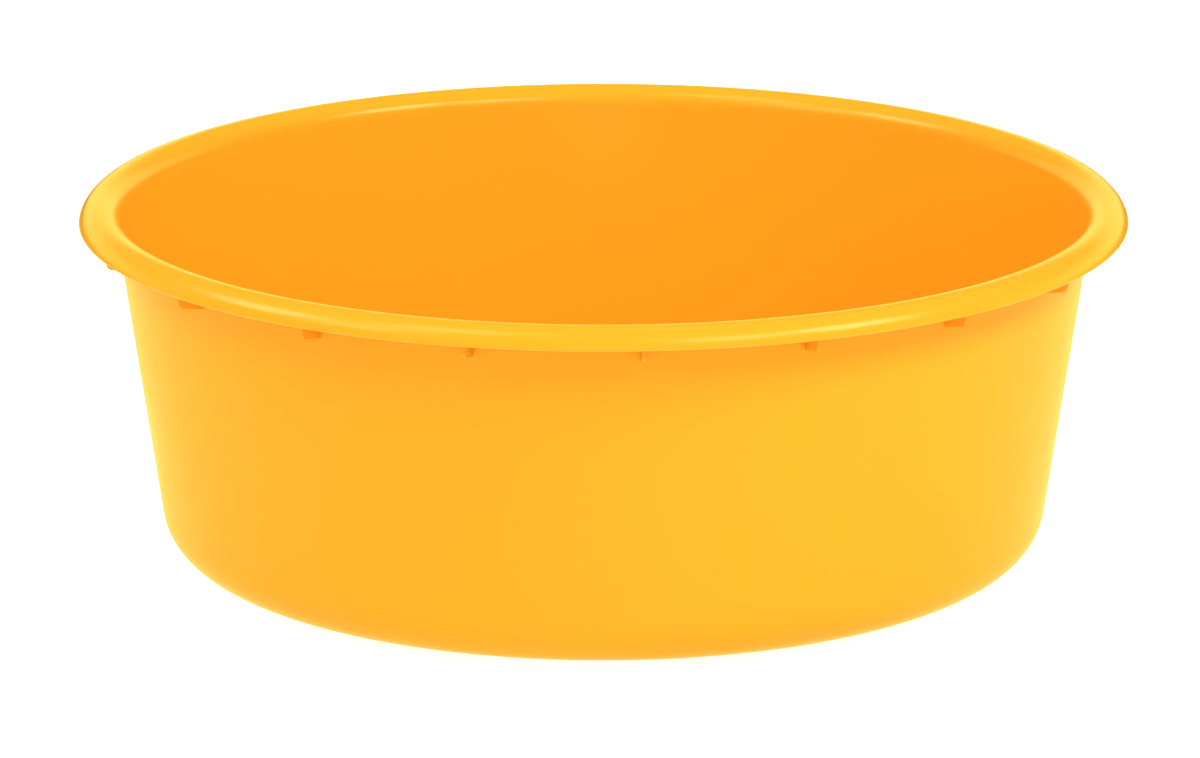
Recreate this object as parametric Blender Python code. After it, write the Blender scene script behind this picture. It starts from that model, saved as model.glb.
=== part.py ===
"""Round washing basin with a turned-down rim, gussets under the rim and a foot ring.

The real basin is one moulding. Its regions are separate solids here, and they meet face to face.
Lengths are in metres and +Z is up. The origin is the centre of the foot ring's underside; -Y is the front.
A section is drawn as points of radius and height, and turned about Z.
"""

from math import acos, atan2, cos, pi, radians, sin, tan

import bmesh
import bpy
import numpy as np

# Basin as a whole
BASIN_RADIUS = 0.2000  # to the outermost edge of the rim
BASIN_HEIGHT = 0.1383  # from the foot ring's underside to the top of the rim
FACETS_PER_RIB = 6  # flat faces round the basin from one rib to the next

# Bowl: floor, base corner and leaning wall
WALL_THICKNESS = 0.0018  # also of the rim
WALL_FLARE = 0.0197  # how far the wall leans out between the base and the top of the rim
FLOOR_THICKNESS = 0.0020
FLOOR_CROWN = 0.0012  # how much higher the floor is at its centre than at the foot ring
FLOOR_CROWN_STEPS = 3
BASE_CORNER_RADIUS = 0.0194
BASE_CORNER_STEPS = 8
BASE_SEAM_RISE = 0.0010  # from the end of the base corner up to the plane where the wall starts
GATE_RECESS_RADIUS = 0.0100  # the shallow recess under the floor, round the moulding's gate
GATE_RECESS_DEPTH = 0.0006

# Rim: the wall rolls over an inner rounding, the band, and then an outer one, the skirt
RIM_BAND_RADIUS = 0.0076
RIM_BAND_STEPS = 6
RIM_BAND_FALL = radians(14.5)  # how much the rim falls outwards where the band ends and the skirt starts
RIM_SKIRT_RADIUS = 0.0086
RIM_SKIRT_STEPS = 4
RIM_SKIRT_LEAN = radians(13.0)  # how much the skirt still leans out at its lower edge
RIM_EDGE_STEPS = 4  # round the skirt's lower edge
RIM_SEAM_DROP = 0.0011  # from the start of the band down to the plane where the wall ends

# Ribs: upright gussets under the rim
RIB_COUNT = 19
RIB_FIRST_ANGLE = radians(4.2)  # from the front towards +X
RIB_THICKNESS = 0.0012
RIB_DEPTH = 0.0130  # from the top of the rim to the outer end of the rib's lower edge
RIB_EDGE_RISE = radians(10.0)  # how much the lower edge rises outwards
RIB_SKIRT_GAP = 0.0024  # from the rib's outer edge to the inside of the skirt's lower edge
RIB_CORNER_RADIUS = 0.0025
RIB_CORNER_STEPS = 4

# Foot ring: what the basin stands on
FOOT_HEIGHT = 0.0015
FOOT_WIDTH = 0.0030
FOOT_INSET = 0.0080  # from the start of the base corner to the ring's outer side
FOOT_EDGE_RADIUS = 0.0005
FOOT_EDGE_STEPS = 2

# Finish
PLASTIC_COLOUR = (0.95, 0.39, 0.016, 1.0)
PLASTIC_ROUGHNESS = 0.30
SHARP_ANGLE = radians(35.0)
MERGE_DISTANCE = 0.000002

LEVEL = np.array((1.0, 0.0))
UPRIGHT = np.array((0.0, 1.0))


def unit(vector):
    return vector / np.hypot(*vector)


def turned_left(direction):
    """A direction of the section after a quarter turn anticlockwise."""
    return np.array((-direction[1], direction[0]))


def meet(first, first_direction, second, second_direction):
    """The point where two lines of the section cross."""
    across = turned_left(second_direction)
    return first + first_direction * np.dot(second - first, across) / np.dot(first_direction, across)


def aimed(angle):
    """The direction of the section at an angle from level, outwards and up."""
    return np.array((cos(angle), sin(angle)))


# The rim, from the centres of its round lower edge and of its two roundings. Its faces are square to these angles.
WALL_ANGLE = pi - atan2(WALL_FLARE, BASIN_HEIGHT - FOOT_HEIGHT)
CREST_ANGLE = pi / 2 - RIM_BAND_FALL
EDGE_ANGLE = RIM_SKIRT_LEAN
EDGE_RADIUS = WALL_THICKNESS / 2
EDGE_REACH = RIM_SKIRT_RADIUS - EDGE_RADIUS
CENTRE_STEP = aimed(CREST_ANGLE) * (RIM_SKIRT_RADIUS - RIM_BAND_RADIUS)
BAND_CENTRE = np.array(
    (
        BASIN_RADIUS - EDGE_RADIUS - EDGE_REACH * cos(EDGE_ANGLE) + CENTRE_STEP[0],
        BASIN_HEIGHT - RIM_BAND_RADIUS,
    )
)
SKIRT_CENTRE = BAND_CENTRE - CENTRE_STEP
EDGE_CENTRE = SKIRT_CENTRE + aimed(EDGE_ANGLE) * EDGE_REACH

# The wall's two faces, which the band continues
WALL_DIRECTION = -turned_left(aimed(WALL_ANGLE))
WALL_OUTSIDE = BAND_CENTRE + aimed(WALL_ANGLE) * (RIM_BAND_RADIUS - WALL_THICKNESS)
WALL_INSIDE = BAND_CENTRE + aimed(WALL_ANGLE) * RIM_BAND_RADIUS


def wall_point(face_point, height):
    """The point of a wall face at a height."""
    return meet(face_point, WALL_DIRECTION, UPRIGHT * height, LEVEL)


# Where the wall's outer face would meet the base, and the top of the floor
WALL_FOOT = wall_point(WALL_OUTSIDE, FOOT_HEIGHT)
FLOOR_HEIGHT = FOOT_HEIGHT + FLOOR_THICKNESS

# Where the flat base ends, and the corner inside, which starts at the same radius
HALF_CORNER_TANGENT = tan(acos(-WALL_DIRECTION[0]) / 2)
BASE_FLAT_RADIUS = WALL_FOOT[0] - BASE_CORNER_RADIUS / HALF_CORNER_TANGENT
FLOOR_CORNER = wall_point(WALL_INSIDE, FLOOR_HEIGHT)
FLOOR_CORNER_REACH = FLOOR_CORNER[0] - BASE_FLAT_RADIUS
FLOOR_CORNER_RADIUS = FLOOR_CORNER_REACH * HALF_CORNER_TANGENT

# The foot ring under the flat base
FOOT_OUTER_RADIUS = BASE_FLAT_RADIUS - FOOT_INSET
FOOT_INNER_RADIUS = FOOT_OUTER_RADIUS - FOOT_WIDTH

# The level planes between which the wall stands
BASE_SEAM_HEIGHT = FLOOR_HEIGHT + FLOOR_CORNER_REACH * WALL_DIRECTION[1] + BASE_SEAM_RISE
RIM_SEAM_HEIGHT = WALL_OUTSIDE[1] - RIM_SEAM_DROP

# The flat faces round the basin, one of them centred on each rib
FACET_COUNT = RIB_COUNT * FACETS_PER_RIB
FACET_ANGLE = 2 * pi / FACET_COUNT
MID_FACET_SHARE = cos(FACET_ANGLE / 2)


def arc(centre, radius, first_angle, last_angle, steps):
    """Points of a rounding, from the direction of one angle to that of another."""
    return [centre + aimed(angle) * radius for angle in np.linspace(first_angle, last_angle, steps + 1)]


def sharp(point):
    """A corner that stays sharp, for rounded()."""
    return point, 0, 0


def rounded(corners):
    """The outline through corners, each given as a point, a fillet radius and the fillet's steps."""
    outline = []
    for i, (point, radius, steps) in enumerate(corners):
        if not radius:
            outline.append(point)
            continue
        before, before_radius, _ = corners[i - 1]
        after, after_radius, _ = corners[(i + 1) % len(corners)]
        room_before = np.hypot(*(before - point)) / (2 if before_radius else 1)
        room_after = np.hypot(*(after - point)) / (2 if after_radius else 1)
        to_before = unit(before - point)
        to_after = unit(after - point)
        half_angle = acos(np.dot(to_before, to_after)) / 2
        reach = min(radius / tan(half_angle), room_before, room_after)
        centre = point + unit(to_before + to_after) * reach / cos(half_angle)
        start = point + to_before * reach - centre
        end = point + to_after * reach - centre
        first_angle = atan2(start[1], start[0])
        sweep = (atan2(end[1], end[0]) - first_angle + pi) % (2 * pi) - pi
        outline.extend(arc(centre, np.hypot(*start), first_angle, first_angle + sweep, steps))
    return outline


def plastic(name):
    """A glossy orange plastic."""
    material = bpy.data.materials.new(name)
    material.use_nodes = True
    shader = material.node_tree.nodes["Principled BSDF"]
    shader.inputs["Base Color"].default_value = PLASTIC_COLOUR
    shader.inputs["Roughness"].default_value = PLASTIC_ROUGHNESS
    shader.inputs["Metallic"].default_value = 0
    return material


def finished(name, mesh):
    """The mesh data of a solid, with its own plastic and smooth but for its sharp edges."""
    bmesh.ops.remove_doubles(mesh, verts=mesh.verts, dist=MERGE_DISTANCE)
    bmesh.ops.recalc_face_normals(mesh, faces=mesh.faces)
    data = bpy.data.meshes.new(name)
    mesh.to_mesh(data)
    mesh.free()
    data.materials.append(plastic(name + "_plastic"))
    data.shade_smooth()
    data.set_sharp_from_angle(angle=SHARP_ANGLE)
    return data


def placed(name, data, turn):
    """An object of the mesh data, turned about Z."""
    piece = bpy.data.objects.new(name, data)
    piece.rotation_euler.z = turn
    bpy.context.scene.collection.objects.link(piece)
    return piece


def ring(mesh, radius, height):
    """The corners of the facets on one level of a turned solid, or the same point for each on the axis."""
    if not radius:
        return [mesh.verts.new((0, 0, height))] * FACET_COUNT
    angles = [RIB_FIRST_ANGLE + FACET_ANGLE * (i + 1 / 2) for i in range(FACET_COUNT)]
    return [mesh.verts.new((radius * sin(angle), -radius * cos(angle), height)) for angle in angles]


def turned(name, outline, closed):
    """A solid turned about Z. An outline that isn't closed starts and ends on the axis."""
    mesh = bmesh.new()
    rings = [ring(mesh, radius, height) for radius, height in outline]
    levels = list(zip(rings, rings[1:]))
    if closed:
        levels.append((rings[-1], rings[0]))
    for lower, upper in levels:
        for i in range(FACET_COUNT):
            corners = (lower[i - 1], lower[i], upper[i], upper[i - 1])
            mesh.faces.new(list(dict.fromkeys(corners)))
    return placed(name, finished(name, mesh), 0)


def crown(base_height):
    """Points of a floor face from the gate recess out to the foot ring, raised towards the axis."""
    points = []
    for step in range(FLOOR_CROWN_STEPS + 1):
        radius = GATE_RECESS_RADIUS + (FOOT_INNER_RADIUS - GATE_RECESS_RADIUS) * step / FLOOR_CROWN_STEPS
        rise = FLOOR_CROWN * (1 - (radius / FOOT_INNER_RADIUS) ** 2)
        points.append(np.array((radius, base_height + rise)))
    return points


def make_floor():
    """The crowned floor, out to where the base corner starts."""
    underside = crown(FOOT_HEIGHT)
    recess_height = underside[0][1] + GATE_RECESS_DEPTH
    outline = [
        UPRIGHT * recess_height,
        np.array((GATE_RECESS_RADIUS, recess_height)),
        *underside,
        np.array((BASE_FLAT_RADIUS, FOOT_HEIGHT)),
        np.array((BASE_FLAT_RADIUS, FLOOR_HEIGHT)),
        *crown(FLOOR_HEIGHT)[:0:-1],
        UPRIGHT * (FLOOR_HEIGHT + FLOOR_CROWN),
    ]
    turned("floor", outline, closed=False)


def make_base_corner():
    """The rounding that leads from the floor up into the wall."""
    corners = [
        sharp(np.array((BASE_FLAT_RADIUS, FOOT_HEIGHT))),
        (WALL_FOOT, BASE_CORNER_RADIUS, BASE_CORNER_STEPS),
        sharp(wall_point(WALL_OUTSIDE, BASE_SEAM_HEIGHT)),
        sharp(wall_point(WALL_INSIDE, BASE_SEAM_HEIGHT)),
        (FLOOR_CORNER, FLOOR_CORNER_RADIUS, BASE_CORNER_STEPS),
        sharp(np.array((BASE_FLAT_RADIUS, FLOOR_HEIGHT))),
    ]
    turned("base_corner", rounded(corners), closed=True)


def make_wall():
    """The straight leaning wall."""
    outline = [
        wall_point(WALL_OUTSIDE, BASE_SEAM_HEIGHT),
        wall_point(WALL_OUTSIDE, RIM_SEAM_HEIGHT),
        wall_point(WALL_INSIDE, RIM_SEAM_HEIGHT),
        wall_point(WALL_INSIDE, BASE_SEAM_HEIGHT),
    ]
    turned("wall", outline, closed=True)


def band_underside():
    """The inner side of the band's rounding, from the wall to where the skirt starts."""
    return arc(BAND_CENTRE, RIM_BAND_RADIUS - WALL_THICKNESS, WALL_ANGLE, CREST_ANGLE, RIM_BAND_STEPS)


def make_rim_band():
    """The inner rounding of the rim, from the wall to just past the top."""
    outline = [
        wall_point(WALL_OUTSIDE, RIM_SEAM_HEIGHT),
        wall_point(WALL_INSIDE, RIM_SEAM_HEIGHT),
        *arc(BAND_CENTRE, RIM_BAND_RADIUS, WALL_ANGLE, CREST_ANGLE, RIM_BAND_STEPS),
        *reversed(band_underside()),
    ]
    turned("rim_band", outline, closed=True)


def skirt_underside():
    """The inner side of the skirt's rounding, from where the band ends to the lower edge."""
    return arc(SKIRT_CENTRE, RIM_SKIRT_RADIUS - WALL_THICKNESS, CREST_ANGLE, EDGE_ANGLE, RIM_SKIRT_STEPS)


def make_rim_skirt():
    """The outer rounding of the rim, down to its round lower edge."""
    outline = [
        *arc(SKIRT_CENTRE, RIM_SKIRT_RADIUS, CREST_ANGLE, EDGE_ANGLE, RIM_SKIRT_STEPS),
        *arc(EDGE_CENTRE, EDGE_RADIUS, EDGE_ANGLE, EDGE_ANGLE - pi, RIM_EDGE_STEPS)[1:],
        *reversed(skirt_underside()[:-1]),
    ]
    turned("rim_skirt", outline, closed=True)


def make_ribs():
    """Thin gussets from the wall out under the rim, each flat against the facets it meets."""
    outer_radius = EDGE_CENTRE[0] - EDGE_RADIUS - RIB_SKIRT_GAP
    underside = band_underside() + skirt_underside()[1:]
    upper_height = np.interp(outer_radius, *np.transpose(underside))
    seat = [point for point in underside if point[0] < outer_radius]
    outer_corner = np.array((outer_radius, BASIN_HEIGHT - RIB_DEPTH))
    outline = rounded(
        [
            sharp(meet(WALL_OUTSIDE, WALL_DIRECTION, outer_corner, aimed(RIB_EDGE_RISE))),
            *map(sharp, seat),
            sharp(np.array((outer_radius, upper_height))),
            (outer_corner, RIB_CORNER_RADIUS, RIB_CORNER_STEPS),
        ]
    )
    mesh = bmesh.new()
    half = RIB_THICKNESS / 2
    sides = [
        [mesh.verts.new((side, -radius * MID_FACET_SHARE, height)) for radius, height in outline]
        for side in (-half, half)
    ]
    for corners in sides:
        mesh.faces.new(corners)
    for i in range(len(outline)):
        mesh.faces.new((sides[0][i - 1], sides[0][i], sides[1][i], sides[1][i - 1]))
    data = finished("rim_rib", mesh)
    for i in range(RIB_COUNT):
        placed(f"rim_rib_{i + 1:02d}", data, RIB_FIRST_ANGLE + 2 * pi * i / RIB_COUNT)


def make_foot_ring():
    """The low ring under the floor. Its top lies on the flat part of the floor's underside."""
    inner_side = LEVEL * FOOT_INNER_RADIUS
    outer_side = LEVEL * FOOT_OUTER_RADIUS
    top = UPRIGHT * FOOT_HEIGHT
    outline = rounded(
        [
            sharp(inner_side + top),
            sharp(outer_side + top),
            (outer_side, FOOT_EDGE_RADIUS, FOOT_EDGE_STEPS),
            (inner_side, FOOT_EDGE_RADIUS, FOOT_EDGE_STEPS),
        ]
    )
    turned("foot_ring", outline, closed=True)


def main():
    for old in list(bpy.data.objects):
        bpy.data.objects.remove(old, do_unlink=True)
    make_floor()
    make_base_corner()
    make_wall()
    make_rim_band()
    make_rim_skirt()
    make_ribs()
    make_foot_ring()


main()
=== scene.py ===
"""Orange washing basin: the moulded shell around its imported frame, its plastic, and a plain studio.

Lengths are in metres and +Z is up. The origin is the centre of the foot ring's underside, and -Y is the
front. A section is drawn as points of radius and height, and turned about Z.
"""

from math import acos, atan2, ceil, cos, pi, radians, sin, tan
from typing import NamedTuple

import bmesh
import bpy
import numpy as np
from bpy.props import FloatProperty, FloatVectorProperty, IntProperty, PointerProperty
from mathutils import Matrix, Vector


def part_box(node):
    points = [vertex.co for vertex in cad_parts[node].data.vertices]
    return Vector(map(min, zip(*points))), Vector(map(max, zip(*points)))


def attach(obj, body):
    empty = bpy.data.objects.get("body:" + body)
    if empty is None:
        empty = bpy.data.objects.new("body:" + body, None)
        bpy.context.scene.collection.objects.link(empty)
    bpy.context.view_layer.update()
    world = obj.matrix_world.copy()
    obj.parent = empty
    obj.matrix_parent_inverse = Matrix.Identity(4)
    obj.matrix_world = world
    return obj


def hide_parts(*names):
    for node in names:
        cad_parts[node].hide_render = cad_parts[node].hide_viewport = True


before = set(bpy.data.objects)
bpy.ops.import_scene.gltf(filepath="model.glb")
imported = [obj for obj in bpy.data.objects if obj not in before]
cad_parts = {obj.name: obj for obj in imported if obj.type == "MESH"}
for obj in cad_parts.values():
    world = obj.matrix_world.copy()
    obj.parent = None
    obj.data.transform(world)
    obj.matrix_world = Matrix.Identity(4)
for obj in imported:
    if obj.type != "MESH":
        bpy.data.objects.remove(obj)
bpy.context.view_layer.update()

bl_info = {
    "name": "Moulded washing basin",
    "version": (1, 0, 0),
    "blender": (4, 5, 0),
    "location": "3D View > Sidebar > Basin",
    "description": "Builds a round plastic basin around its frame, with its plastic and a plain studio",
    "category": "Add Mesh",
}

PICTURE_WIDTH = 1200  # pixels
AROUND_Z = (0, 0, 1)
LEVEL = np.array((1.0, 0.0))
UPRIGHT = np.array((0.0, 1.0))
BODY = "root"
MERGE_DISTANCE = 1e-6
SHARP_ANGLE = radians(35)
CROWN_STEPS = 24
TONGUE_MARGIN_SHARE = 0.25  # of a section's thickness, on each side of its tongue
EDGE_FACES = 2  # across the rounding of a rib's edge
ROUND_PROFILE = 0.5
WHITE = (1.0, 1.0, 1.0, 1.0)
WITHOUT_HEIGHT = (1.0, 1.0, 0.0)  # times a place


def reach(node):
    """How far a turned node of the frame reaches from the axis, where its flat faces are nearest to it."""
    low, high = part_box(node)
    return min(high.x - low.x, high.y - low.y) / 2


def lowest(node):
    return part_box(node)[0].z


def highest(node):
    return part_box(node)[1].z


# What the frame gives: the outer corners of the shell, and the ribs
RIM_RADIUS = reach("rim_skirt")
RIM_TOP = highest("rim_band")
SKIRT_BOTTOM = lowest("rim_skirt")
WALL_START = np.array((reach("base_corner"), highest("base_corner")))
WALL_END = np.array((reach("wall"), highest("wall")))
BASE_FLAT_RADIUS = reach("floor")
BASE_HEIGHT = lowest("floor")
FOOT_RADIUS = reach("foot_ring")
RIBS = sorted(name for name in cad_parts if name.startswith("rim_rib_"))
RIB_BOTTOM = lowest(RIBS[0])
RIB_CENTRE = sum(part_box(RIBS[0]), Vector()) / 2

# Noise in the plastic. Its values lie round the middle, mostly within a fifth of it.
NOISE_MIDDLE = 0.5
NOISE_ROUGHNESS = 0.5
GRAIN_DETAIL = 2.0
RIPPLE_DETAIL = 1.0
UNEVEN_RANGE = (0.3, 0.7)
SCRATCH_DETAIL = 1.0
SCRATCH_TURNS = (radians(23), radians(-51))
SCRATCH_BAND = 0.012  # how far from the middle a scratch reaches
PATCH_DETAIL = 2.0
PATCH_RANGE = (0.5, 0.68)
SPOT_DETAIL = 4.0
SPOT_RANGE = (0.3, 0.6)
# The least that a spot keeps of a rub mark and of the highlight painted along the rim's lower edge
LEAST_RUB_AND_HIGHLIGHT = 0.4

# Reflections of the studio, by the sine of their elevation and by how much they look towards +Y
GLOW_START = (-0.01, 0.01)
GLOW_END = (0.31, 0.37)
GLOW_BEHIND = (0.0, 0.5)
HIGH_SKY_SHARE = 0.1  # of the glow, above its end
MIRRORED_FADE = 2  # where the mirrored floor is dark, in times its reach


class BasinWallSettings(bpy.types.PropertyGroup):
    """The floor, the base corner, the wall and the foot ring."""

    wall_thickness: FloatProperty(
        name="Wall thickness", description="Of the straight wall", default=0.0018, unit="LENGTH"
    )
    floor_thickness: FloatProperty(
        name="Floor thickness", description="Of the floor all over", default=0.0020, unit="LENGTH"
    )
    floor_crown: FloatProperty(
        name="Floor crown",
        description="How much higher the floor is at its centre than at the foot ring",
        default=0.0012,
        unit="LENGTH",
    )
    recess_radius: FloatProperty(
        name="Gate recess radius",
        description="Of the recess under the floor, round the moulding's gate",
        default=0.0100,
        unit="LENGTH",
    )
    recess_depth: FloatProperty(
        name="Gate recess depth", description="How deep it goes into the floor", default=0.0006, unit="LENGTH"
    )
    gate_radius: FloatProperty(
        name="Gate radius", description="Of the trimmed stub of the gate", default=0.0016, unit="LENGTH"
    )
    gate_height: FloatProperty(
        name="Gate height", description="How far the stub stands down", default=0.0004, unit="LENGTH"
    )
    foot_width: FloatProperty(
        name="Foot width", description="Of the ring that the basin stands on", default=0.0030, unit="LENGTH"
    )
    foot_rounding: FloatProperty(
        name="Foot rounding", description="Of the foot ring's lower edges", default=0.0005, unit="LENGTH"
    )


class BasinRimSettings(bpy.types.PropertyGroup):
    """The rim: the wall rolls over an inner rounding, the band, and then an outer one, the skirt."""

    band_radius: FloatProperty(
        name="Band radius",
        description="Of the inner rounding",
        default=0.0076,
        unit="LENGTH",
    )
    band_fall: FloatProperty(
        name="Band fall",
        description="How much the rim falls outwards where the band ends and the skirt starts",
        default=radians(14.5),
        unit="ROTATION",
    )
    skirt_lean: FloatProperty(
        name="Skirt lean",
        description="How much the skirt still leans out at its lower edge",
        default=radians(13.0),
        unit="ROTATION",
    )


class BasinRibSettings(bpy.types.PropertyGroup):
    """The gussets under the rim."""

    count: IntProperty(name="Ribs", description="How many stand round the rim", default=len(RIBS), min=3)
    first_angle: FloatProperty(
        name="First rib",
        description="Angle of the first rib from the front, towards +X",
        default=atan2(RIB_CENTRE.x, -RIB_CENTRE.y),
        unit="ROTATION",
    )
    thickness: FloatProperty(
        name="Rib thickness",
        description="Of each gusset",
        default=0.0012,
        unit="LENGTH",
    )
    skirt_gap: FloatProperty(
        name="Gap to the skirt",
        description="From the rib's outer edge to the inside of the skirt's lower edge",
        default=0.0024,
        unit="LENGTH",
    )
    edge_rise: FloatProperty(
        name="Edge rise",
        description="How much the rib's lower edge rises outwards",
        default=radians(10),
        unit="ROTATION",
    )
    corner_radius: FloatProperty(
        name="Rib corner", description="Of the rib's lower outer corner", default=0.0025, unit="LENGTH"
    )
    edge_rounding: FloatProperty(
        name="Rib edge", description="Of the rib's long edges", default=0.0002, unit="LENGTH"
    )
    root_depth: FloatProperty(
        name="Rib root",
        description="How far a rib reaches into the wall and the band",
        default=0.0003,
        unit="LENGTH",
    )


class BasinMeshSettings(bpy.types.PropertyGroup):
    """How finely the turned pieces are made."""

    around: IntProperty(name="Faces around", description="In one turn of the basin", default=360, min=24)
    arc_step: FloatProperty(
        name="Arc step",
        description="The most that a rounding turns in one face",
        default=radians(7.5),
        unit="ROTATION",
    )
    seam_lead: FloatProperty(
        name="Seam lead",
        description="How far the base corner reaches into the flat floor, and each tongue into its neighbour",
        default=0.0006,
        unit="LENGTH",
    )


class BasinPlasticSettings(bpy.types.PropertyGroup):
    """The orange plastic."""

    colour: FloatVectorProperty(
        name="Colour", description="Of the plastic", default=(0.95, 0.39, 0.016, 1.0), size=4, subtype="COLOR"
    )
    # Pale colour of scuffed edges and scratches, and of the highlight painted along the rim's lower edge
    wear_and_highlight_colour: FloatVectorProperty(
        name="Wear and highlight colour",
        description="Of edges and scratches that are rubbed pale",
        default=(0.98, 0.54, 0.06, 1.0),
        size=4,
        subtype="COLOR",
    )
    roughness: FloatProperty(
        name="Roughness", description="Of untouched plastic", default=0.22, min=0, max=1, subtype="FACTOR"
    )
    rubbed_roughness: FloatProperty(
        name="Rubbed roughness",
        description="Of rubbed edges and scratches",
        default=0.45,
        min=0,
        max=1,
        subtype="FACTOR",
    )
    specular: FloatProperty(
        name="Specular level",
        description="How strongly it mirrors",
        default=0.40,
        min=0,
        max=1,
        subtype="FACTOR",
    )
    specular_tint: FloatVectorProperty(
        name="Specular tint",
        description="Colour of what it mirrors",
        default=(1.0, 0.85, 0.35, 1.0),
        size=4,
        subtype="COLOR",
    )
    ior: FloatProperty(name="Refractive index", description="Of polypropylene", default=1.49, min=1)
    grain_size: FloatProperty(
        name="Grain size", description="Of the fine grain the mould leaves", default=0.0007, unit="LENGTH"
    )
    grain_height: FloatProperty(
        name="Grain height", description="Of the fine grain", default=0.0000035, unit="LENGTH"
    )
    ripple_size: FloatProperty(
        name="Ripple size",
        description="Of the slow unevenness of a moulded wall",
        default=0.042,
        unit="LENGTH",
    )
    ripple_height: FloatProperty(
        name="Ripple height", description="Of the slow unevenness", default=0.00011, unit="LENGTH"
    )
    smoother: FloatProperty(
        name="Smoother",
        description="The most by which the roughness falls, place by place",
        default=0.02,
        min=0,
    )
    duller: FloatProperty(
        name="Duller",
        description="The most by which the roughness rises, place by place",
        default=0.03,
        min=0,
    )
    scratch_length: FloatProperty(
        name="Scratch length", description="Of the fine scratches", default=0.05, unit="LENGTH"
    )
    scratch_spacing: FloatProperty(
        name="Scratch spacing", description="From one scratch to the next", default=0.002, unit="LENGTH"
    )
    scratch_patch: FloatProperty(
        name="Scratch patch",
        description="Size of the patches that are scratched",
        default=0.09,
        unit="LENGTH",
    )
    # The spots break up both the rub marks and the highlight painted along the rim's lower edge
    rub_and_highlight_spot: FloatProperty(
        name="Rub and highlight spot",
        description="Size of the spots that break up a rubbed edge",
        default=0.006,
        unit="LENGTH",
    )


class BasinStudioSettings(bpy.types.PropertyGroup):
    """The camera, the lamps, the sky and the floor."""

    aim_height: FloatProperty(
        name="Aim height",
        description="What the camera looks at, above the floor",
        default=0.0675,
        unit="LENGTH",
    )
    camera_distance: FloatProperty(
        name="Camera distance", description="From that point", default=2.620, unit="LENGTH"
    )
    camera_elevation: FloatProperty(
        name="Camera elevation", description="Above the level", default=radians(15.323), unit="ROTATION"
    )
    lens: FloatProperty(name="Lens", description="On a 36 mm wide frame", default=204.51, unit="CAMERA")
    shift_right: FloatProperty(
        name="Shift right", description="Of the aim in the picture, in pixels", default=3.67, subtype="PIXEL"
    )
    shift_up: FloatProperty(
        name="Shift up", description="Of the aim in the picture, in pixels", default=3.94, subtype="PIXEL"
    )
    floor_size: FloatProperty(
        name="Floor size",
        description="Of the square floor",
        default=40.0,
        unit="LENGTH",
    )
    floor_colour: FloatVectorProperty(
        name="Floor colour",
        description="Of the pale floor",
        default=(0.8, 0.8, 0.8, 1.0),
        size=4,
        subtype="COLOR",
    )
    floor_glow: FloatProperty(
        name="Floor glow",
        description="Added where the floor is seen, so that it looks white",
        default=0.85,
        min=0,
    )
    floor_bounce: FloatProperty(
        name="Floor bounce",
        description="Light that the floor throws on the basin from below",
        default=0.22,
        min=0,
    )
    sky_level: FloatProperty(name="Sky level", description="Light from all round", default=0.58, min=0)
    lamp_level: FloatProperty(name="Lamp level", description="Scales all the lamps", default=1.0, min=0)
    lamp_distance: FloatProperty(
        name="Lamp distance", description="From the aim to each lamp", default=2.6, unit="LENGTH"
    )
    broad_lamp: FloatProperty(
        name="Broad lamp",
        description="Side of a soft lamp",
        default=0.8,
        unit="LENGTH",
    )
    streak_lamp: FloatProperty(
        name="Streak lamp",
        description="Side of a lamp that leaves a streak on the rim",
        default=0.35,
        unit="LENGTH",
    )
    mirrored_colour: FloatVectorProperty(
        name="Mirrored colour",
        description="Of the floor and the sky in a reflection",
        default=(1.0, 0.97, 0.27, 1.0),
        size=4,
        subtype="COLOR",
    )
    mirrored_floor: FloatProperty(
        name="Mirrored floor", description="How bright the near floor is in a reflection", default=1.3, min=0
    )
    mirrored_reach: FloatProperty(
        name="Mirrored reach", description="How far the bright floor reaches", default=0.55, unit="LENGTH"
    )
    mirrored_sky: FloatProperty(
        name="Mirrored sky", description="How bright the low sky is in a reflection", default=1.55, min=0
    )


SETTINGS = {
    "basin_wall": BasinWallSettings,
    "basin_rim": BasinRimSettings,
    "basin_rib": BasinRibSettings,
    "basin_mesh": BasinMeshSettings,
    "basin_plastic": BasinPlasticSettings,
    "basin_studio": BasinStudioSettings,
}


def unit(vector):
    return vector / np.hypot(*vector)


def turned_left(direction):
    """A direction of the section after a quarter turn anticlockwise."""
    return np.array((-direction[1], direction[0]))


def meet(first, first_direction, second, second_direction):
    """The point where two lines of the section cross."""
    across = turned_left(second_direction)
    return first + first_direction * np.dot(second - first, across) / np.dot(first_direction, across)


def aimed(angle):
    """The direction of the section at an angle from level, outwards and up."""
    return np.array((cos(angle), sin(angle)))


def arc(centre, radius, first_angle, last_angle, arc_step):
    """Points of a rounding, from the direction of one angle to that of another."""
    steps = ceil(abs(last_angle - first_angle) / arc_step)
    return [centre + aimed(angle) * radius for angle in np.linspace(first_angle, last_angle, steps + 1)]


def sharp(point):
    """A corner that stays sharp, for rounded()."""
    return point, 0


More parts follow.
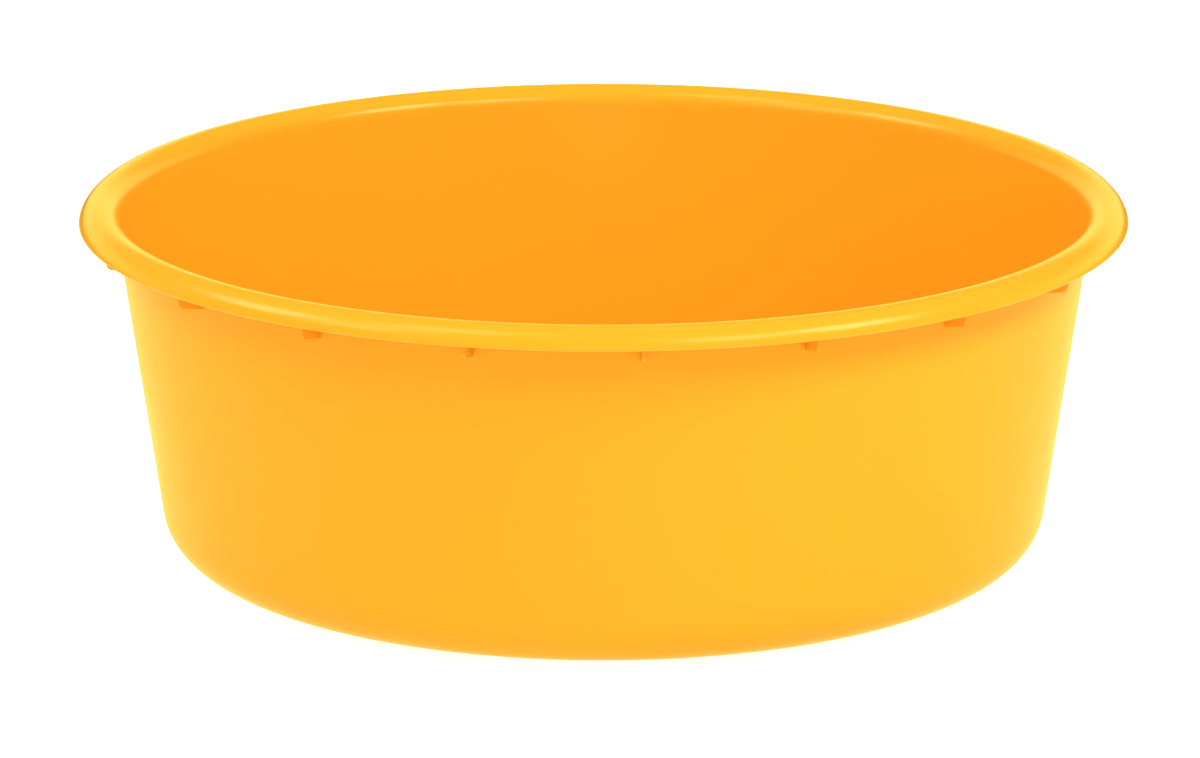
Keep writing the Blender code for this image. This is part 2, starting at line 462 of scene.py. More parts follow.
def rounded(corners, arc_step):
    """The outline through corners, each given as a point and a fillet radius."""
    outline = []
    for i, (point, radius) in enumerate(corners):
        if not radius:
            outline.append(point)
            continue
        before, before_radius = corners[i - 1]
        after, after_radius = corners[(i + 1) % len(corners)]
        # Two fillets share the line between them
        room_before = np.hypot(*(before - point)) / (2 if before_radius else 1)
        room_after = np.hypot(*(after - point)) / (2 if after_radius else 1)
        to_before = unit(before - point)
        to_after = unit(after - point)
        half_angle = acos(np.dot(to_before, to_after)) / 2
        distance = min(radius / tan(half_angle), room_before, room_after)
        centre = point + unit(to_before + to_after) * distance / cos(half_angle)
        start = point + to_before * distance - centre
        end = point + to_after * distance - centre
        first_angle = atan2(start[1], start[0])
        sweep = (atan2(end[1], end[0]) - first_angle + pi) % (2 * pi) - pi
        outline.extend(arc(centre, np.hypot(*start), first_angle, first_angle + sweep, arc_step))
    return outline


WALL_DIRECTION = unit(WALL_END - WALL_START)
WALL_ANGLE = pi - atan2(*WALL_DIRECTION)  # of the normal to the wall's inner face


def outer_wall(height):
    """The point of the wall's outer face at a height."""
    return meet(WALL_START, WALL_DIRECTION, UPRIGHT * height, LEVEL)


def inner_wall(wall, height):
    """The point of the wall's inner face at a height."""
    start = WALL_START + turned_left(WALL_DIRECTION) * wall.wall_thickness
    return meet(start, WALL_DIRECTION, UPRIGHT * height, LEVEL)


def band_centre(wall, rim):
    """The centre of the rim's inner rounding, which continues the wall and reaches the top."""
    return inner_wall(wall, RIM_TOP - rim.band_radius) + LEVEL * rim.band_radius / WALL_DIRECTION[1]


def skirt_rounding(wall, rim):
    """The centre and the radius of the rim's outer rounding, whose lower edge reaches the rim's radius."""
    crest = aimed(pi / 2 - rim.band_fall)
    crest_point = band_centre(wall, rim) + crest * rim.band_radius
    width = RIM_RADIUS - wall.wall_thickness / 2 * (1 - cos(rim.skirt_lean)) - crest_point[0]
    radius = width / (cos(rim.skirt_lean) - crest[0])
    return crest_point - crest * radius, radius


def rim_section(scene):
    """The rim from where the wall ends, over both roundings, round the lower edge and back underneath."""
    wall, rim, arc_step = scene.basin_wall, scene.basin_rim, scene.basin_mesh.arc_step
    half = wall.wall_thickness / 2
    crest_angle = pi / 2 - rim.band_fall
    inner_centre = band_centre(wall, rim)
    outer_centre, skirt_radius = skirt_rounding(wall, rim)
    edge_centre = outer_centre + aimed(rim.skirt_lean) * (skirt_radius - half)
    return [
        WALL_END,
        inner_wall(wall, WALL_END[1]),
        *arc(inner_centre, rim.band_radius, WALL_ANGLE, crest_angle, arc_step),
        *arc(outer_centre, skirt_radius, crest_angle, rim.skirt_lean, arc_step)[1:],
        *arc(edge_centre, half, rim.skirt_lean, rim.skirt_lean - pi, arc_step)[1:],
        *arc(outer_centre, skirt_radius - wall.wall_thickness, rim.skirt_lean, crest_angle, arc_step)[1:],
        *arc(inner_centre, rim.band_radius - wall.wall_thickness, crest_angle, WALL_ANGLE, arc_step)[1:],
    ]


def tongue(first, last, out):
    """The end of a section, with a narrower tongue into the next piece, so that no light passes the seam."""
    margin = (last - first) * TONGUE_MARGIN_SHARE
    return [first, first + margin, first + margin + out, last - margin + out, last - margin, last]


def wall_section(scene):
    """The straight wall, between the base corner and the rim."""
    wall = scene.basin_wall
    out = WALL_DIRECTION * scene.basin_mesh.seam_lead
    top = tongue(WALL_END, inner_wall(wall, WALL_END[1]), out)
    return top + tongue(inner_wall(wall, WALL_START[1]), WALL_START, -out)


def base_corner_section(scene):
    """The rounding from the floor up into the wall, outside and inside."""
    wall = scene.basin_wall
    floor_top = BASE_HEIGHT + wall.floor_thickness
    seam_radius = BASE_FLAT_RADIUS - scene.basin_mesh.seam_lead
    outer_corner = outer_wall(BASE_HEIGHT)
    inner_corner = inner_wall(wall, floor_top)
    tangent = tan(acos(-WALL_DIRECTION[0]) / 2)
    corners = [
        sharp(np.array((seam_radius, BASE_HEIGHT))),
        (outer_corner, (outer_corner[0] - BASE_FLAT_RADIUS) * tangent),
        sharp(WALL_START),
        sharp(inner_wall(wall, WALL_START[1])),
        (inner_corner, (inner_corner[0] - BASE_FLAT_RADIUS) * tangent),
        sharp(np.array((seam_radius, floor_top))),
    ]
    return rounded(corners, scene.basin_mesh.arc_step)


def crown(wall, base_height):
    """Points of a floor face from the gate recess out to the foot ring, raised towards the axis."""
    crown_radius = FOOT_RADIUS - wall.foot_width
    points = []
    for share in np.linspace(0, 1, CROWN_STEPS + 1):
        radius = wall.recess_radius + (crown_radius - wall.recess_radius) * share
        points.append(np.array((radius, base_height + wall.floor_crown * (1 - (radius / crown_radius) ** 2))))
    return points


def floor_section(scene):
    """The crowned floor, with the gate's stub in its recess underneath."""
    wall = scene.basin_wall
    floor_top = BASE_HEIGHT + wall.floor_thickness
    out = LEVEL * scene.basin_mesh.seam_lead
    seam = LEVEL * BASE_FLAT_RADIUS - out
    underside = crown(wall, BASE_HEIGHT)
    recess_top = underside[0][1] + wall.recess_depth
    gate_bottom = recess_top - wall.gate_height
    corners = [
        sharp(UPRIGHT * gate_bottom),
        (np.array((wall.gate_radius, gate_bottom)), wall.gate_height / 2),
        (np.array((wall.gate_radius, recess_top)), wall.gate_height / 2),
        (np.array((wall.recess_radius - wall.recess_depth, recess_top)), wall.recess_depth / 2),
        (underside[0], wall.recess_depth / 2),
        *map(sharp, underside[1:]),
        *map(sharp, tongue(seam + UPRIGHT * BASE_HEIGHT, seam + UPRIGHT * floor_top, out)),
        *map(sharp, crown(wall, floor_top)[::-1]),
        sharp(UPRIGHT * (floor_top + wall.floor_crown)),
    ]
    return rounded(corners, scene.basin_mesh.arc_step)


def foot_section(scene):
    """The low ring under the floor."""
    wall = scene.basin_wall
    inner_side = LEVEL * (FOOT_RADIUS - wall.foot_width)
    outer_side = LEVEL * FOOT_RADIUS
    top = UPRIGHT * BASE_HEIGHT
    corners = [
        sharp(inner_side + top),
        sharp(outer_side + top),
        (outer_side, wall.foot_rounding),
        (inner_side, wall.foot_rounding),
    ]
    return rounded(corners, scene.basin_mesh.arc_step)


def rib_outline(scene):
    """One gusset from the side. Its root reaches a little into the wall and the rim."""
    wall, rim, rib, arc_step = scene.basin_wall, scene.basin_rim, scene.basin_rib, scene.basin_mesh.arc_step
    outer_radius = RIM_RADIUS - wall.wall_thickness - rib.skirt_gap
    crest_angle = pi / 2 - rim.band_fall
    root_rise = rib.root_depth - wall.wall_thickness
    inner_centre = band_centre(wall, rim)
    outer_centre, skirt_radius = skirt_rounding(wall, rim)
    outer_angle = acos((outer_radius - outer_centre[0]) / (skirt_radius + root_rise))
    wall_root = WALL_START + turned_left(WALL_DIRECTION) * rib.root_depth
    lower_edge = outer_wall(RIB_BOTTOM), aimed(rib.edge_rise)
    corners = [
        sharp(meet(wall_root, WALL_DIRECTION, *lower_edge)),
        *map(sharp, arc(inner_centre, rim.band_radius + root_rise, WALL_ANGLE, crest_angle, arc_step)),
        *map(sharp, arc(outer_centre, skirt_radius + root_rise, crest_angle, outer_angle, arc_step)[1:]),
        (meet(LEVEL * outer_radius, UPRIGHT, *lower_edge), rib.corner_radius),
    ]
    return rounded(corners, arc_step)


def add_node(tree, kind, inputs=(), **settings):
    """A new node with its settings. An input, by name or number, is linked to a socket or set to a value."""
    node = tree.nodes.new(kind)
    for name, value in settings.items():
        setattr(node, name, value)
    for key, value in dict(inputs).items():
        if isinstance(value, bpy.types.NodeSocket):
            tree.links.new(value, node.inputs[key])
        else:
            node.inputs[key].default_value = value
    return node


def add_math(tree, operation, first, second=0.0):
    """The result of a Math node on sockets or numbers."""
    return add_node(tree, "ShaderNodeMath", {0: first, 1: second}, operation=operation).outputs[0]


def add_ramp(tree, value, span, low=0.0, high=1.0):
    """A value that goes from low to high while another crosses a span."""
    inputs = {"Value": value, "From Min": span[0], "From Max": span[1], "To Min": low, "To Max": high}
    return add_node(tree, "ShaderNodeMapRange", inputs).outputs[0]


def add_inverse(tree, value):
    return add_math(tree, "DIVIDE", 1.0, value)


def add_noise(tree, vector, scale, detail):
    inputs = {"Vector": vector, "Scale": scale, "Detail": detail, "Roughness": NOISE_ROUGHNESS}
    return add_node(tree, "ShaderNodeTexNoise", inputs).outputs[0]


def new_tree(name, kind, inputs, outputs):
    """A node group with named sockets, and the outputs of its input node."""
    tree = bpy.data.node_groups.new(name, kind)
    for label, socket in inputs.items():
        tree.interface.new_socket(label, in_out="INPUT", socket_type="NodeSocket" + socket)
    for label, socket in outputs.items():
        tree.interface.new_socket(label, in_out="OUTPUT", socket_type="NodeSocket" + socket)
    return tree, tree.nodes.new("NodeGroupInput").outputs


def shared_tree(name, build):
    """A node group by its name, built the first time that it is asked for."""
    return bpy.data.node_groups.get(name) or build(name)


def add_group(tree, name, build, inputs):
    """The outputs of a shared shader group in a tree."""
    return add_node(tree, "ShaderNodeGroup", inputs, node_tree=shared_tree(name, build)).outputs


def end_tree(tree, geometry, material):
    """Closes a geometry tree: real geometry with its material."""
    real = add_node(tree, "GeometryNodeRealizeInstances", {"Geometry": geometry}).outputs[0]
    coated = add_node(tree, "GeometryNodeSetMaterial", {"Geometry": real, "Material": material}).outputs[0]
    add_node(tree, "NodeGroupOutput", {0: coated})


def turning_tree(name):
    """Turns the points of a section, at their radius in front of the axis, about Z into a solid."""
    tree, given = new_tree(
        name,
        "GeometryNodeTree",
        {
            "Section": "Geometry",
            "Faces around": "Int",
            "Closed": "Bool",
            "Merge distance": "Float",
            "Plastic": "Material",
        },
        {"Solid": "Geometry"},
    )
    counted = add_node(tree, "GeometryNodeAttributeDomainSize", {"Geometry": given["Section"]})
    points = counted.outputs["Point Count"]
    rows = add_math(tree, "ADD", points, given["Closed"])
    columns = add_math(tree, "ADD", given["Faces around"], 1)
    grid_size = {"Vertices X": columns, "Vertices Y": rows}
    grid = add_node(tree, "GeometryNodeMeshGrid", grid_size).outputs["Mesh"]
    index = add_node(tree, "GeometryNodeInputIndex").outputs[0]
    column = add_math(tree, "FLOOR", add_math(tree, "DIVIDE", index, rows))
    row = add_math(tree, "MODULO", add_math(tree, "MODULO", index, rows), points)
    angle = add_math(tree, "DIVIDE", add_math(tree, "MULTIPLY", column, 2 * pi), given["Faces around"])
    place = add_node(tree, "GeometryNodeInputPosition").outputs[0]
    point = add_node(
        tree,
        "GeometryNodeSampleIndex",
        {"Geometry": given["Section"], "Value": place, "Index": row},
        data_type="FLOAT_VECTOR",
    ).outputs[0]
    spin = {"Vector": point, "Angle": angle}
    spun = add_node(tree, "ShaderNodeVectorRotate", spin, rotation_type="Z_AXIS").outputs[0]
    bend = {"Geometry": grid, "Position": spun}
    bent = add_node(tree, "GeometryNodeSetPosition", bend).outputs[0]
    merge = {"Geometry": bent, "Distance": given["Merge distance"]}
    merged = add_node(tree, "GeometryNodeMergeByDistance", merge).outputs[0]
    end_tree(tree, merged, given["Plastic"])
    return tree


def repeating_tree(name):
    """Repeats a piece round Z."""
    tree, given = new_tree(
        name,
        "GeometryNodeTree",
        {"Piece": "Geometry", "Count": "Int", "First angle": "Float", "Plastic": "Material"},
        {"Pieces": "Geometry"},
    )
    points = add_node(tree, "GeometryNodePoints", {"Count": given["Count"]}).outputs[0]
    index = add_node(tree, "GeometryNodeInputIndex").outputs[0]
    share = add_math(tree, "DIVIDE", add_math(tree, "MULTIPLY", index, 2 * pi), given["Count"])
    angle = add_math(tree, "ADD", share, given["First angle"])
    turn = add_node(tree, "FunctionNodeAxisAngleToRotation", {"Axis": AROUND_Z, "Angle": angle}).outputs[0]
    copies = {"Points": points, "Instance": given["Piece"], "Rotation": turn}
    end_tree(tree, add_node(tree, "GeometryNodeInstanceOnPoints", copies).outputs[0], given["Plastic"])
    return tree


def made_by(tree, name, mesh, values):
    """The plain mesh that a geometry tree makes of a mesh, as an object. Inputs get values by name."""
    piece = bpy.data.objects.new(name, mesh)
    bpy.context.scene.collection.objects.link(piece)
    modifier = piece.modifiers.new(tree.name, "NODES")
    modifier.node_group = tree
    for item in tree.interface.items_tree:
        if item.in_out == "INPUT" and item.name in values:
            modifier[item.identifier] = values[item.name]
    made = piece.evaluated_get(bpy.context.evaluated_depsgraph_get())
    result = bpy.data.meshes.new_from_object(made)
    piece.modifiers.clear()
    piece.data = result
    bpy.data.meshes.remove(mesh)
    result.name = name
    return piece


def face_out(piece):
    """Makes a closed mesh face outwards, and shades it smooth but for its sharp edges."""
    mesh = bmesh.new()
    mesh.from_mesh(piece.data)
    bmesh.ops.recalc_face_normals(mesh, faces=mesh.faces)
    mesh.to_mesh(piece.data)
    mesh.free()
    piece.data.shade_smooth()
    piece.data.set_sharp_from_angle(angle=SHARP_ANGLE)


def settle(piece, *nodes):
    """Makes a finished piece face outwards and shade smooth, attaches it to its body, and hides the nodes of
    the frame that it stands for.
    """
    face_out(piece)
    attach(piece, BODY)
    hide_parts(*nodes)


def turned(scene, name, section, finish, nodes, closed=True):
    """A solid turned about Z. A section that isn't closed starts and ends on the axis."""
    mesh = bpy.data.meshes.new(name + "_section")
    mesh.from_pydata([(0, -radius, height) for radius, height in section], [], [])
    values = {
        "Faces around": scene.basin_mesh.around,
        "Closed": closed,
        "Merge distance": MERGE_DISTANCE,
        "Plastic": plastic(scene, finish),
    }
    settle(made_by(shared_tree("Turned solid", turning_tree), name, mesh, values), *nodes)


def surface_group(name):
    """What a mould leaves on plastic: a fine grain, and the slow unevenness of a thin wall."""
    tree, given = new_tree(
        name,
        "ShaderNodeTree",
        {
            "Vector": "Vector",
            "Grain size": "Float",
            "Grain height": "Float",
            "Ripple size": "Float",
            "Ripple height": "Float",
        },
        {"Height": "Float", "Unevenness": "Float"},
    )
    grain = add_noise(tree, given["Vector"], add_inverse(tree, given["Grain size"]), GRAIN_DETAIL)
    ripple = add_noise(tree, given["Vector"], add_inverse(tree, given["Ripple size"]), RIPPLE_DETAIL)
    grain_height = add_math(tree, "MULTIPLY", grain, given["Grain height"])
    ripple_height = add_math(tree, "MULTIPLY", ripple, given["Ripple height"])
    add_node(tree, "NodeGroupOutput", {0: add_math(tree, "ADD", grain_height, ripple_height), 1: ripple})
    return tree


def scratch_group(name):
    """Fine long scratches that cross each other, in patches."""
    tree, given = new_tree(
        name,
        "ShaderNodeTree",
        {"Vector": "Vector", "Length": "Float", "Spacing": "Float", "Patch size": "Float", "Amount": "Float"},
        {"Mask": "Float"},
    )
    along = add_inverse(tree, given["Length"])
    across = add_inverse(tree, given["Spacing"])
    stretch = add_node(tree, "ShaderNodeCombineXYZ", {"X": along, "Y": across, "Z": across}).outputs[0]
    masks = []
    for turn in SCRATCH_TURNS:
        turning = {"Vector": given["Vector"], "Angle": turn}
        aligned = add_node(tree, "ShaderNodeVectorRotate", turning, rotation_type="Z_AXIS").outputs[0]
        stretching = {0: aligned, 1: stretch}
        stretched = add_node(tree, "ShaderNodeVectorMath", stretching, operation="MULTIPLY").outputs[0]
        noise = add_noise(tree, stretched, 1.0, SCRATCH_DETAIL)
        off = add_math(tree, "ABSOLUTE", add_math(tree, "SUBTRACT", noise, NOISE_MIDDLE))
        masks.append(add_ramp(tree, off, (0.0, SCRATCH_BAND), 1.0, 0.0))
    lines = add_math(tree, "MAXIMUM", masks[0], masks[1])
    patches = add_noise(tree, given["Vector"], add_inverse(tree, given["Patch size"]), PATCH_DETAIL)
    in_patch = add_ramp(tree, patches, PATCH_RANGE)
    mask = add_math(tree, "MULTIPLY", add_math(tree, "MULTIPLY", lines, in_patch), given["Amount"])
    add_node(tree, "NodeGroupOutput", {0: mask})
    return tree


def rub_and_highlight_group(name):
    """A pale mark along a level edge: near its height, outside a radius, in spots along its length. It is a
    rub mark, and on the rim's lower edge a painted highlight too.
    """
    tree, given = new_tree(
        name,
        "ShaderNodeTree",
        {
            "Vector": "Vector",
            "Edge height": "Float",
            "Inner radius": "Float",
            "Reach": "Float",
            "Spot size": "Float",
            "Amount": "Float",
        },
        {"Mask": "Float"},
    )
    flattening = {0: given["Vector"], 1: WITHOUT_HEIGHT}
    level_place = add_node(tree, "ShaderNodeVectorMath", flattening, operation="MULTIPLY").outputs[0]
    radius = add_node(tree, "ShaderNodeVectorMath", {0: level_place}, operation="LENGTH").outputs["Value"]
    outside = add_math(tree, "GREATER_THAN", radius, given["Inner radius"])
    height = add_node(tree, "ShaderNodeSeparateXYZ", {0: given["Vector"]}).outputs["Z"]
    off = add_math(tree, "ABSOLUTE", add_math(tree, "SUBTRACT", height, given["Edge height"]))
    near = add_math(tree, "SUBTRACT", 1.0, add_math(tree, "DIVIDE", off, given["Reach"]))
    on_edge = add_math(tree, "MULTIPLY", add_math(tree, "MAXIMUM", near, 0.0), outside)
    spots = add_noise(tree, given["Vector"], add_inverse(tree, given["Spot size"]), SPOT_DETAIL)
    worn_and_highlit = add_math(tree, "MULTIPLY", on_edge, add_ramp(tree, spots, SPOT_RANGE, LEAST_RUB_AND_HIGHLIGHT))
    add_node(tree, "NodeGroupOutput", {0: add_math(tree, "MULTIPLY", worn_and_highlit, given["Amount"])})
    return tree


class WearAndHighlight(NamedTuple):
    """How a finish wears: pale rub marks near a height, outside a radius, and fine scratches. On the rim the
    pale mark is a painted highlight too.
    """

    rub_and_highlight_reach: float
    rub_and_highlight_amount: float
    rub_and_highlight_height: float = 0.0
    rub_and_highlight_radius: float = 0.0
    scratch_amount: float = 0.0


SKIRT_INSIDE = WALL_END[0] + 0.003  # a radius between the wall and the skirt's lower edge
FINISHES = {
    "polished_plastic": None,
    "floor_plastic": WearAndHighlight(rub_and_highlight_reach=0.0004, rub_and_highlight_amount=0.3, rub_and_highlight_height=BASE_HEIGHT, scratch_amount=0.3),
    # On the rim the pale line along the skirt's lower edge is partly rub marks and partly a painted
    # highlight, where the round edge catches the light
    "rim_plastic": WearAndHighlight(rub_and_highlight_reach=0.0009, rub_and_highlight_amount=0.9, rub_and_highlight_height=SKIRT_BOTTOM, rub_and_highlight_radius=SKIRT_INSIDE),
    "foot_plastic": WearAndHighlight(rub_and_highlight_reach=0.0006, rub_and_highlight_amount=0.8, scratch_amount=0.1),
}


def wear_and_highlight_mask(tree, place, look, wear_and_highlight):
    """How much each place of a finish is pale from scratches and rubs, and on the rim's lower edge from a
    painted highlight.
    """
    scratches = {
        "Vector": place,
        "Length": look.scratch_length,
        "Spacing": look.scratch_spacing,
        "Patch size": look.scratch_patch,
        "Amount": wear_and_highlight.scratch_amount,
    }
    rubbing_and_highlight = {
        "Vector": place,
        "Edge height": wear_and_highlight.rub_and_highlight_height,
        "Inner radius": wear_and_highlight.rub_and_highlight_radius,
        "Reach": wear_and_highlight.rub_and_highlight_reach,
        "Spot size": look.rub_and_highlight_spot,
        "Amount": wear_and_highlight.rub_and_highlight_amount,
    }
    scratched = add_group(tree, "Fine scratches", scratch_group, scratches)["Mask"]
    rubbed_and_highlit = add_group(tree, "Rubbed edge", rub_and_highlight_group, rubbing_and_highlight)["Mask"]
    return add_math(tree, "MAXIMUM", scratched, rubbed_and_highlit)


def plastic(scene, name):
    """One finish of the orange plastic, as it was moulded or with rub marks and scratches. On the rim the
    pale mark also paints a highlight along the lower edge.
    """
    if name in bpy.data.materials:
        return bpy.data.materials[name]
    look = scene.basin_plastic
    material = bpy.data.materials.new(name)
    material.use_nodes = True
    tree = material.node_tree
    tree.nodes.clear()
    place = add_node(tree, "ShaderNodeTexCoord").outputs["Object"]
    surface = {
        "Vector": place,
        "Grain size": look.grain_size,
        "Grain height": look.grain_height,
        "Ripple size": look.ripple_size,
        "Ripple height": look.ripple_height,
    }
    moulded = add_group(tree, "Moulded surface", surface_group, surface)
    smooth, dull = look.roughness - look.smoother, look.roughness + look.duller
    colour = look.colour
    roughness = add_ramp(tree, moulded["Unevenness"], UNEVEN_RANGE, smooth, dull)
    if FINISHES[name]:
        worn_and_highlit = wear_and_highlight_mask(tree, place, look, FINISHES[name])
        # Pale where the plastic is scuffed, and on the rim's lower edge a painted highlight
        colours = {0: worn_and_highlit, 6: look.colour, 7: look.wear_and_highlight_colour}
        colour = add_node(tree, "ShaderNodeMix", colours, data_type="RGBA").outputs[2]
        roughnesses = {0: worn_and_highlit, 2: roughness, 3: look.rubbed_roughness}
        roughness = add_node(tree, "ShaderNodeMix", roughnesses).outputs[0]
    bump = add_node(tree, "ShaderNodeBump", {"Height": moulded["Height"], "Distance": 1.0}).outputs[0]
    shader = add_node(
        tree,
        "ShaderNodeBsdfPrincipled",
        {
            "Base Color": colour,
            "Roughness": roughness,
            "Normal": bump,
            "IOR": look.ior,
            "Specular IOR Level": look.specular,
            "Specular Tint": look.specular_tint,
        },
    )
    add_node(tree, "ShaderNodeOutputMaterial", {"Surface": shader.outputs[0]})
    return material


class Lamp(NamedTuple):
    """A square lamp. It stands round the basin from the front towards +X, and points at the basin."""

    name: str
    around: float
    elevation: float
    side: str  # the studio setting that gives it
    level: float


LAMPS = (
    Lamp("key_right", radians(60), radians(42), "broad_lamp", 0.36),
    Lamp("key_front", radians(30), radians(42), "broad_lamp", 0.22),
    Lamp("high_left", radians(-60), radians(66), "broad_lamp", 0.14),
    Lamp("side_left", radians(-90), radians(42), "broad_lamp", 0.21),
    Lamp("front_left", radians(-60), radians(42), "broad_lamp", 0.11),
    Lamp("front", radians(0), radians(15), "broad_lamp", 0.04),
    Lamp("streak_right", radians(73), radians(41), "streak_lamp", 0.05),
    Lamp("streak_left", radians(-108), radians(42), "streak_lamp", 0.03),
)


def seen_directly(tree):
    """Two masks: what the camera sees, also through a clear thing, and what a reflection sees."""
    path = add_node(tree, "ShaderNodeLightPath").outputs
    seen = add_math(tree, "MAXIMUM", path["Is Camera Ray"], path["Is Transmission Ray"])
    return seen, path["Is Glossy Ray"]


def set_sky(scene):
    """Light from all round, on a white background. A reflection sees a glow low at the back."""
    studio = scene.basin_studio
    world = bpy.data.worlds.new("studio_sky")
    world.use_nodes = True
    tree = world.node_tree
    tree.nodes.clear()
    seen, mirrored = seen_directly(tree)
    direction = add_node(tree, "ShaderNodeTexCoord").outputs["Generated"]
    parts = add_node(tree, "ShaderNodeSeparateXYZ", {0: direction}).outputs
    above_floor = add_ramp(tree, parts["Z"], GLOW_START)
    low = add_ramp(tree, parts["Z"], GLOW_END, 1.0, HIGH_SKY_SHARE)
    behind = add_ramp(tree, parts["Y"], GLOW_BEHIND)
    glow = add_math(tree, "MULTIPLY", add_math(tree, "MULTIPLY", above_floor, low), behind)
    glow = add_math(tree, "MULTIPLY", glow, studio.mirrored_sky)
    plain = add_node(tree, "ShaderNodeMix", {0: seen, 2: studio.sky_level, 3: 1.0}).outputs[0]
    strength = add_node(tree, "ShaderNodeMix", {0: mirrored, 2: plain, 3: glow}).outputs[0]
    colours = {0: mirrored, 6: WHITE, 7: studio.mirrored_colour}
    colour = add_node(tree, "ShaderNodeMix", colours, data_type="RGBA").outputs[2]
    sky = add_node(tree, "ShaderNodeBackground", {"Color": colour, "Strength": strength})
    add_node(tree, "ShaderNodeOutputWorld", {"Surface": sky.outputs[0]})
    scene.world = world


def set_floor(scene):
    """A pale floor that takes the basin's shadow and is seen as white. A reflection sees its near part."""
    studio = scene.basin_studio
    half = studio.floor_size / 2
    corners = [(-half, -half, 0), (half, -half, 0), (half, half, 0), (-half, half, 0)]
    mesh = bpy.data.meshes.new("studio_floor")
    mesh.from_pydata(corners, [], [range(len(corners))])
    floor = bpy.data.objects.new("studio_floor", mesh)
    scene.collection.objects.link(floor)
    material = bpy.data.materials.new("studio_floor")
    material.use_nodes = True
    tree = material.node_tree
    tree.nodes.clear()
    seen, mirrored = seen_directly(tree)
    levels = {0: seen, 2: studio.floor_bounce, 3: studio.floor_glow}
    strength = add_node(tree, "ShaderNodeMix", levels).outputs[0]
    glow = add_node(tree, "ShaderNodeEmission", {"Strength": strength})
    paint = add_node(tree, "ShaderNodeBsdfDiffuse", {"Color": studio.floor_colour})
    both = add_node(tree, "ShaderNodeAddShader", {0: glow.outputs[0], 1: paint.outputs[0]})
    place = add_node(tree, "ShaderNodeTexCoord").outputs["Object"]
    distance = add_node(tree, "ShaderNodeVectorMath", {0: place}, operation="LENGTH").outputs["Value"]
    fading = (studio.mirrored_reach, studio.mirrored_reach * MIRRORED_FADE)
    level = add_ramp(tree, distance, fading, studio.mirrored_floor, 0.0)
    shine = add_node(tree, "ShaderNodeEmission", {"Color": studio.mirrored_colour, "Strength": level})
    either = add_node(tree, "ShaderNodeMixShader", {0: mirrored, 1: both.outputs[0], 2: shine.outputs[0]})
    add_node(tree, "ShaderNodeOutputMaterial", {"Surface": either.outputs[0]})
    mesh.materials.append(material)


def set_lamps(scene):
    """The lamps. A level of 1 shows a white matt face that points at the lamp as white."""
    studio = scene.basin_studio
    aim = Vector((0, 0, studio.aim_height))
    for lamp in LAMPS:
        light = bpy.data.lights.new(lamp.name, "AREA")
        light.shape = "SQUARE"
        light.size = getattr(studio, lamp.side)
        light.energy = lamp.level * studio.lamp_level * (pi * studio.lamp_distance) ** 2
        level_reach = cos(lamp.elevation)
        right, back = sin(lamp.around) * level_reach, -cos(lamp.around) * level_reach
        direction = Vector((right, back, sin(lamp.elevation)))
        stand = bpy.data.objects.new(lamp.name, light)
        stand.location = aim + direction * studio.lamp_distance
        stand.rotation_euler = direction.to_track_quat("Z", "Y").to_euler()
        scene.collection.objects.link(stand)


def set_camera(scene):
    """The camera in front of the basin, a little above it."""
    studio = scene.basin_studio
    data = bpy.data.cameras.new("studio_camera")
    data.lens = studio.lens
    data.shift_x = -studio.shift_right / PICTURE_WIDTH
    data.shift_y = -studio.shift_up / PICTURE_WIDTH
    camera = bpy.data.objects.new("studio_camera", data)
    direction = Vector((0, -cos(studio.camera_elevation), sin(studio.camera_elevation)))
    camera.location = Vector((0, 0, studio.aim_height)) + direction * studio.camera_distance
    camera.rotation_euler = direction.to_track_quat("Z", "Y").to_euler()
    scene.collection.objects.link(camera)
    scene.camera = camera


class BASIN_OT_add_floor(bpy.types.Operator):
    """Add the crowned floor, with the moulding's gate underneath"""

    bl_idname = "basin.add_floor"
    bl_label = "Add floor"

    def execute(self, context):
        scene = context.scene
        turned(scene, "moulded_floor", floor_section(scene), "floor_plastic", ["floor"], closed=False)
        return {"FINISHED"}


class BASIN_OT_add_base_corner(bpy.types.Operator):
    """Add the rounding from the floor up into the wall"""

    bl_idname = "basin.add_base_corner"
    bl_label = "Add base corner"

    def execute(self, context):
        scene = context.scene
        section = base_corner_section(scene)
        turned(scene, "moulded_base_corner", section, "polished_plastic", ["base_corner"])
        return {"FINISHED"}


class BASIN_OT_add_wall(bpy.types.Operator):
    """Add the straight leaning wall"""

    bl_idname = "basin.add_wall"
    bl_label = "Add wall"

    def execute(self, context):
        scene = context.scene
        turned(scene, "moulded_wall", wall_section(scene), "polished_plastic", ["wall"])
        return {"FINISHED"}


class BASIN_OT_add_rim(bpy.types.Operator):
    """Add the rim: its inner and outer rounding, and its round lower edge"""

    bl_idname = "basin.add_rim"
    bl_label = "Add rim"

    def execute(self, context):
        scene = context.scene
        turned(scene, "moulded_rim", rim_section(scene), "rim_plastic", ["rim_band", "rim_skirt"])
        return {"FINISHED"}


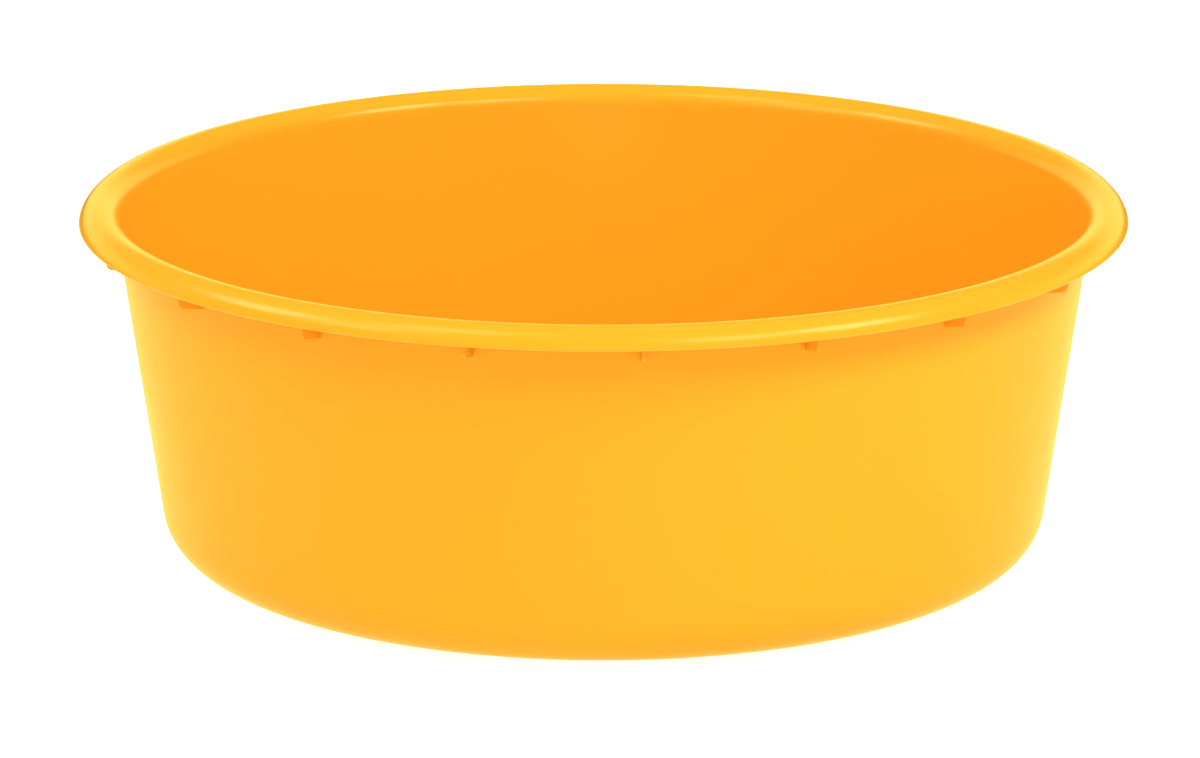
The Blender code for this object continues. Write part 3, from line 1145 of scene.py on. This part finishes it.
class BASIN_OT_add_rim_ribs(bpy.types.Operator):
    """Add the gussets that stand round the wall under the rim"""

    bl_idname = "basin.add_rim_ribs"
    bl_label = "Add rim ribs"

    def execute(self, context):
        scene = context.scene
        rib = scene.basin_rib
        half = rib.thickness / 2
        mesh = bmesh.new()
        corners = [mesh.verts.new((half, -radius, height)) for radius, height in rib_outline(scene)]
        moved = bmesh.ops.extrude_face_region(mesh, geom=[mesh.faces.new(corners)])["geom"]
        for part in moved:
            if isinstance(part, bmesh.types.BMVert):
                part.co.x = -half
        bmesh.ops.recalc_face_normals(mesh, faces=mesh.faces)
        long_edges = [edge for edge in mesh.edges if edge.verts[0].co.x == edge.verts[1].co.x]
        bmesh.ops.bevel(
            mesh,
            geom=long_edges,
            offset=rib.edge_rounding,
            segments=EDGE_FACES,
            profile=ROUND_PROFILE,
            affect="EDGES",
        )
        data = bpy.data.meshes.new("rim_rib")
        mesh.to_mesh(data)
        mesh.free()
        finish = plastic(scene, "polished_plastic")
        values = {"Count": rib.count, "First angle": rib.first_angle, "Plastic": finish}
        tree = shared_tree("Pieces round the rim", repeating_tree)
        settle(made_by(tree, "moulded_rim_ribs", data, values), *RIBS)
        return {"FINISHED"}


class BASIN_OT_add_foot_ring(bpy.types.Operator):
    """Add the low ring that the basin stands on"""

    bl_idname = "basin.add_foot_ring"
    bl_label = "Add foot ring"

    def execute(self, context):
        scene = context.scene
        turned(scene, "moulded_foot_ring", foot_section(scene), "foot_plastic", ["foot_ring"])
        return {"FINISHED"}


class BASIN_OT_set_stage(bpy.types.Operator):
    """Set the camera, the lamps, the sky and the floor"""

    bl_idname = "basin.set_stage"
    bl_label = "Set stage"

    def execute(self, context):
        scene = context.scene
        scene.view_settings.view_transform = "Standard"
        set_sky(scene)
        set_floor(scene)
        set_lamps(scene)
        set_camera(scene)
        return {"FINISHED"}


OPERATORS = (
    BASIN_OT_add_floor,
    BASIN_OT_add_base_corner,
    BASIN_OT_add_wall,
    BASIN_OT_add_rim,
    BASIN_OT_add_rim_ribs,
    BASIN_OT_add_foot_ring,
    BASIN_OT_set_stage,
)


class BASIN_PT_pieces(bpy.types.Panel):
    """Lists the basin's pieces and their settings"""

    bl_label = "Moulded washing basin"
    bl_space_type = "VIEW_3D"
    bl_region_type = "UI"
    bl_category = "Basin"

    def draw(self, context):
        layout = self.layout
        for name, settings in SETTINGS.items():
            box = layout.box()
            for key in settings.__annotations__:
                box.prop(getattr(context.scene, name), key)
        for operator in OPERATORS:
            layout.operator(operator.bl_idname)


CLASSES = (*SETTINGS.values(), *OPERATORS, BASIN_PT_pieces)


def register():
    for item in CLASSES:
        bpy.utils.register_class(item)
    for name, settings in SETTINGS.items():
        setattr(bpy.types.Scene, name, PointerProperty(type=settings))


def unregister():
    for name in SETTINGS:
        delattr(bpy.types.Scene, name)
    for item in reversed(CLASSES):
        bpy.utils.unregister_class(item)


def main():
    register()
    bpy.ops.basin.add_floor()
    bpy.ops.basin.add_base_corner()
    bpy.ops.basin.add_wall()
    bpy.ops.basin.add_rim()
    bpy.ops.basin.add_rim_ribs()
    bpy.ops.basin.add_foot_ring()
    bpy.ops.basin.set_stage()


if __name__ == "__main__":
    main()
